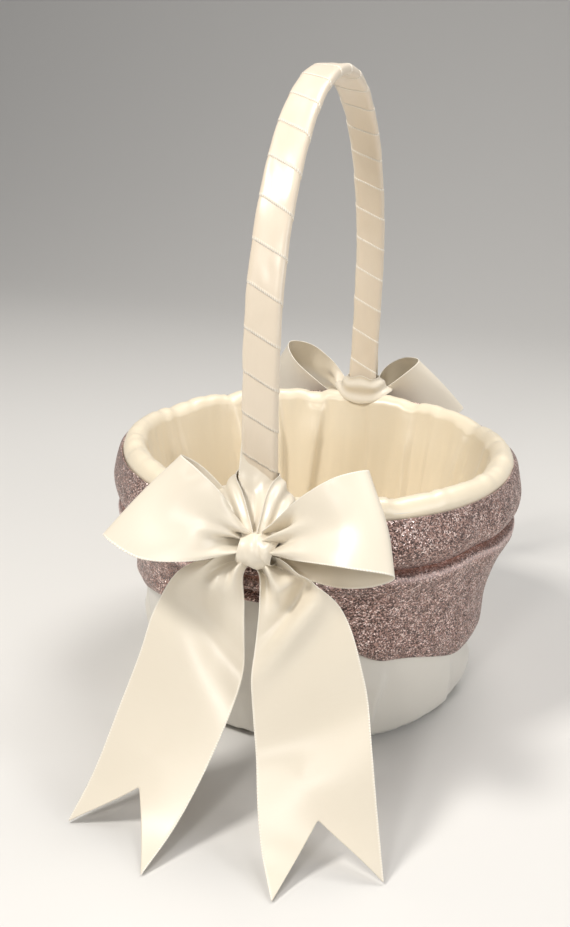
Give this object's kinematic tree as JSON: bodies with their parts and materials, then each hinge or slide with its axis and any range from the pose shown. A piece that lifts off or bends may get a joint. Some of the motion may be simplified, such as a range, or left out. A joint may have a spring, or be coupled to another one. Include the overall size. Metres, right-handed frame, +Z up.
{
  "type": "flower girl basket",
  "caption": "Round tapered basket with a fixed hoop handle, padded satin lining and cover, a glitter sash, and a ribbon bow with swallowtail ends tied at each foot of the handle.",
  "frame": {"origin": "on the floor, at the middle of the basket's foot", "axes": "+Z up; the handle's arch spans Y; -Y is the front, where the bow in the picture is tied"},
  "size_m": [0.1724, 0.3042, 0.2529],
  "materials": {
    "satin": "satin",
    "ribbon": "satin",
    "glitter_cloth": "sparkling",
    "batting": "soft",
    "splint": "raw",
    "plywood": "raw",
    "card": "matte",
    "nail": "brushed"
  },
  "bodies": {
    "root": {"base_board": "plywood", "stakes": "splint", "base_tacks": "nail", "rim_hoop_outer": "splint", "rim_hoop_inner": "splint", "handle_hoop": "splint", "handle_brads": "nail", "handle_ribbon": "ribbon", "wall_padding": "batting", "lining": "satin", "floor_pad": "satin", "outer_cover": "satin", "bottom_disc": "card", "sash": "glitter_cloth", "weaver_1": "splint", "weaver_2": "splint", "weaver_3": "splint", "weaver_4": "splint", "weaver_5": "splint", "weaver_6": "splint", "front_bow_knot": "ribbon", "front_bow_tie": "ribbon", "front_bow_loop_left": "ribbon", "front_bow_loop_right": "ribbon", "front_bow_tail_left": "ribbon", "front_bow_tail_right": "ribbon", "back_bow_knot": "ribbon", "back_bow_tie": "ribbon", "back_bow_loop_left": "ribbon", "back_bow_loop_right": "ribbon", "back_bow_tail_left": "ribbon", "back_bow_tail_right": "ribbon"}
  },
  "joints": []
}
